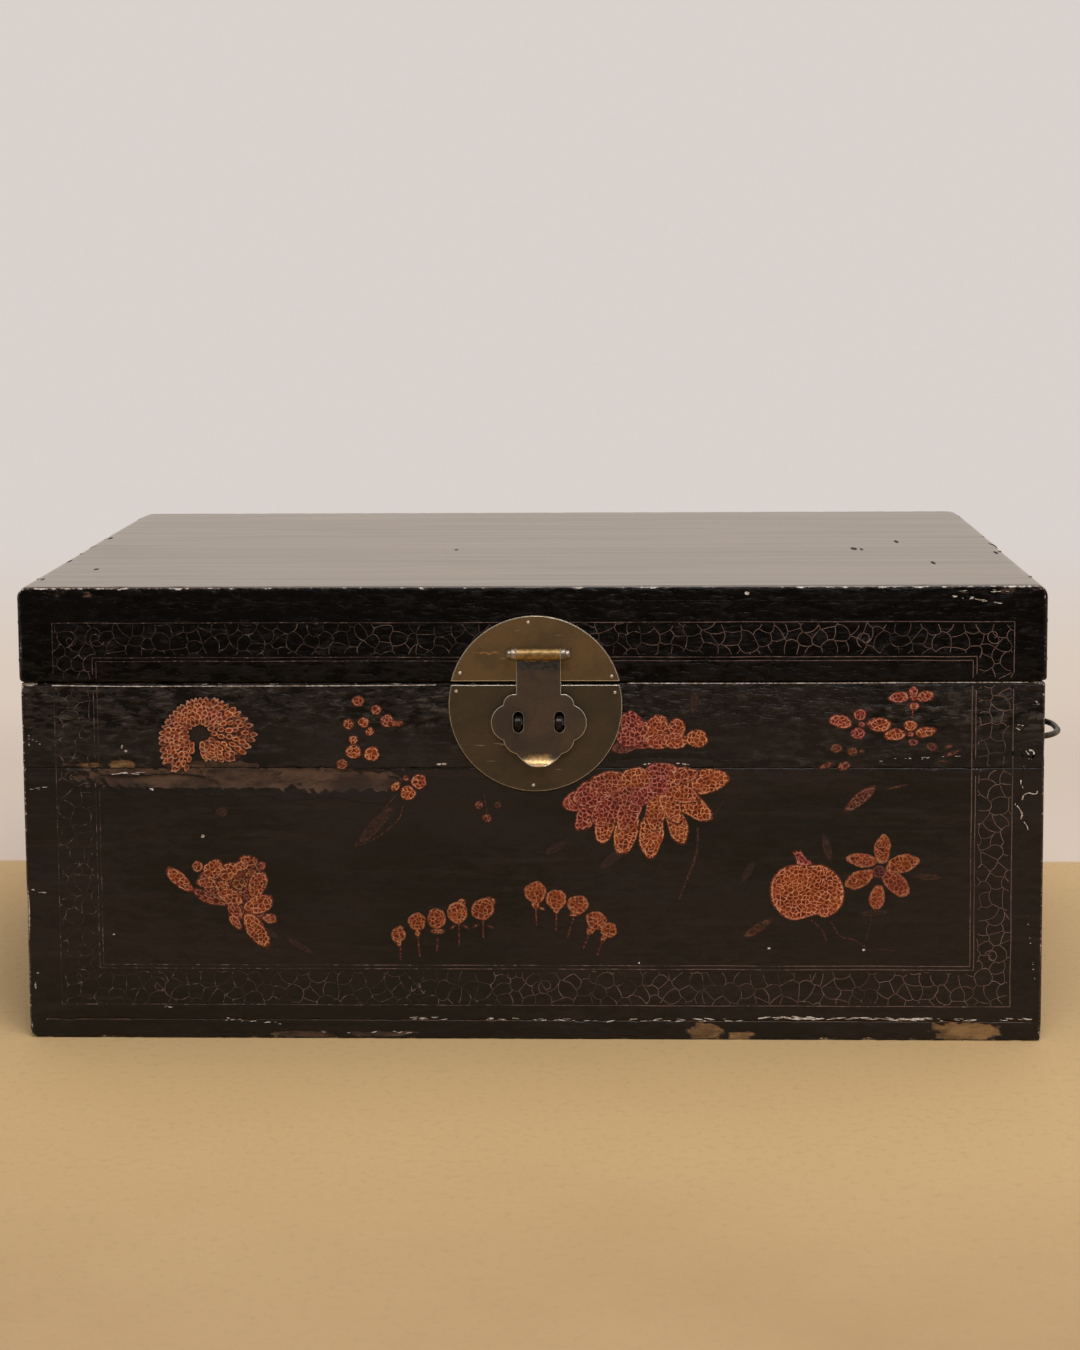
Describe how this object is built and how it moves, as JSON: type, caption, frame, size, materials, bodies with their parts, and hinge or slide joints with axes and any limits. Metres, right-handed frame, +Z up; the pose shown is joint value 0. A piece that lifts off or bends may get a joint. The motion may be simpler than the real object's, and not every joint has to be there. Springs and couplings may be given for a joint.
{
  "type": "lid-top lacquered storage chest",
  "caption": "Low black-lacquered wooden chest with a hinged top, round brass lock plate with a hasp over lugs, and a bail handle at each end.",
  "frame": {"origin": "centre of the case's underside", "axes": "+Z up, +X to the right of someone who faces the front, front towards -Y"},
  "size_m": [0.7681, 0.4766, 0.32],
  "materials": {
    "lacquered_wood": "aged black lacquer over wood, with painted flowers and a cracked-ice border on the front",
    "bare_wood": "plain planed wood",
    "bamboo": "split bamboo",
    "lock_brass": "brown patina with bright worn edges",
    "bright_brass": "worn bright",
    "dull_brass": "dull grey-brown patina"
  },
  "bodies": {
    "chest": {"front_floor_plank": "lacquered_wood", "middle_floor_plank": "lacquered_wood", "back_floor_plank": "lacquered_wood", "front_lower_board": "lacquered_wood", "back_lower_board": "lacquered_wood", "left_lower_board": "lacquered_wood", "right_lower_board": "lacquered_wood", "front_upper_board": "lacquered_wood", "back_upper_board": "lacquered_wood", "left_upper_board": "lacquered_wood", "right_upper_board": "lacquered_wood", "front_lip": "bare_wood", "left_lip": "bare_wood", "right_lip": "bare_wood", "board_dowels": "bamboo", "body_corner_pegs": "bamboo", "floor_pegs": "bamboo", "lower_lock_plate": "lock_brass", "lower_plate_nails": "bright_brass", "lock_lugs": "dull_brass", "left_hinge_case_leaf": "dull_brass", "right_hinge_case_leaf": "dull_brass", "left_hinge_pin": "dull_brass", "right_hinge_pin": "dull_brass", "hinge_case_nails": "bright_brass", "left_bail_eyes": "dull_brass", "right_bail_eyes": "dull_brass", "left_bail_plates": "dull_brass", "right_bail_plates": "dull_brass"},
    "lid": {"lid_front_rail": "lacquered_wood", "lid_back_rail": "lacquered_wood", "lid_left_rail": "lacquered_wood", "lid_right_rail": "lacquered_wood", "lid_front_plank": "lacquered_wood", "lid_back_plank": "lacquered_wood", "lid_corner_pegs": "bamboo", "lid_top_pegs": "bamboo", "upper_lock_plate": "lock_brass", "upper_plate_nails": "bright_brass", "hasp_pin_eyes": "dull_brass", "hasp_pin": "lock_brass", "left_hinge_lid_leaf": "dull_brass", "right_hinge_lid_leaf": "dull_brass", "hinge_lid_nails": "bright_brass"},
    "hasp": {"hasp": "lock_brass"},
    "left_handle": {"left_bail": "dull_brass"},
    "right_handle": {"right_bail": "dull_brass"}
  },
  "joints": [
    {"name": "lid_hinge", "type": "hinge", "parent": "chest", "child": "lid", "pos_m": [0, 0.232, 0.2532], "axis": [-1, 0, 0], "range_deg": [0, 180]},
    {"name": "hasp_hinge", "type": "hinge", "parent": "lid", "child": "hasp", "pos_m": [0.0064, -0.23605, 0.2736], "axis": [-1, 0, 0], "range_deg": [0, 175]},
    {"name": "left_handle_swing", "type": "hinge", "parent": "chest", "child": "left_handle", "pos_m": [-0.36, 0, 0.1758], "axis": [0, 1, 0], "range_deg": [-5, 185]},
    {"name": "right_handle_swing", "type": "hinge", "parent": "chest", "child": "right_handle", "pos_m": [0.36, 0, 0.1758], "axis": [0, -1, 0], "range_deg": [-95, 95]}
  ]
}
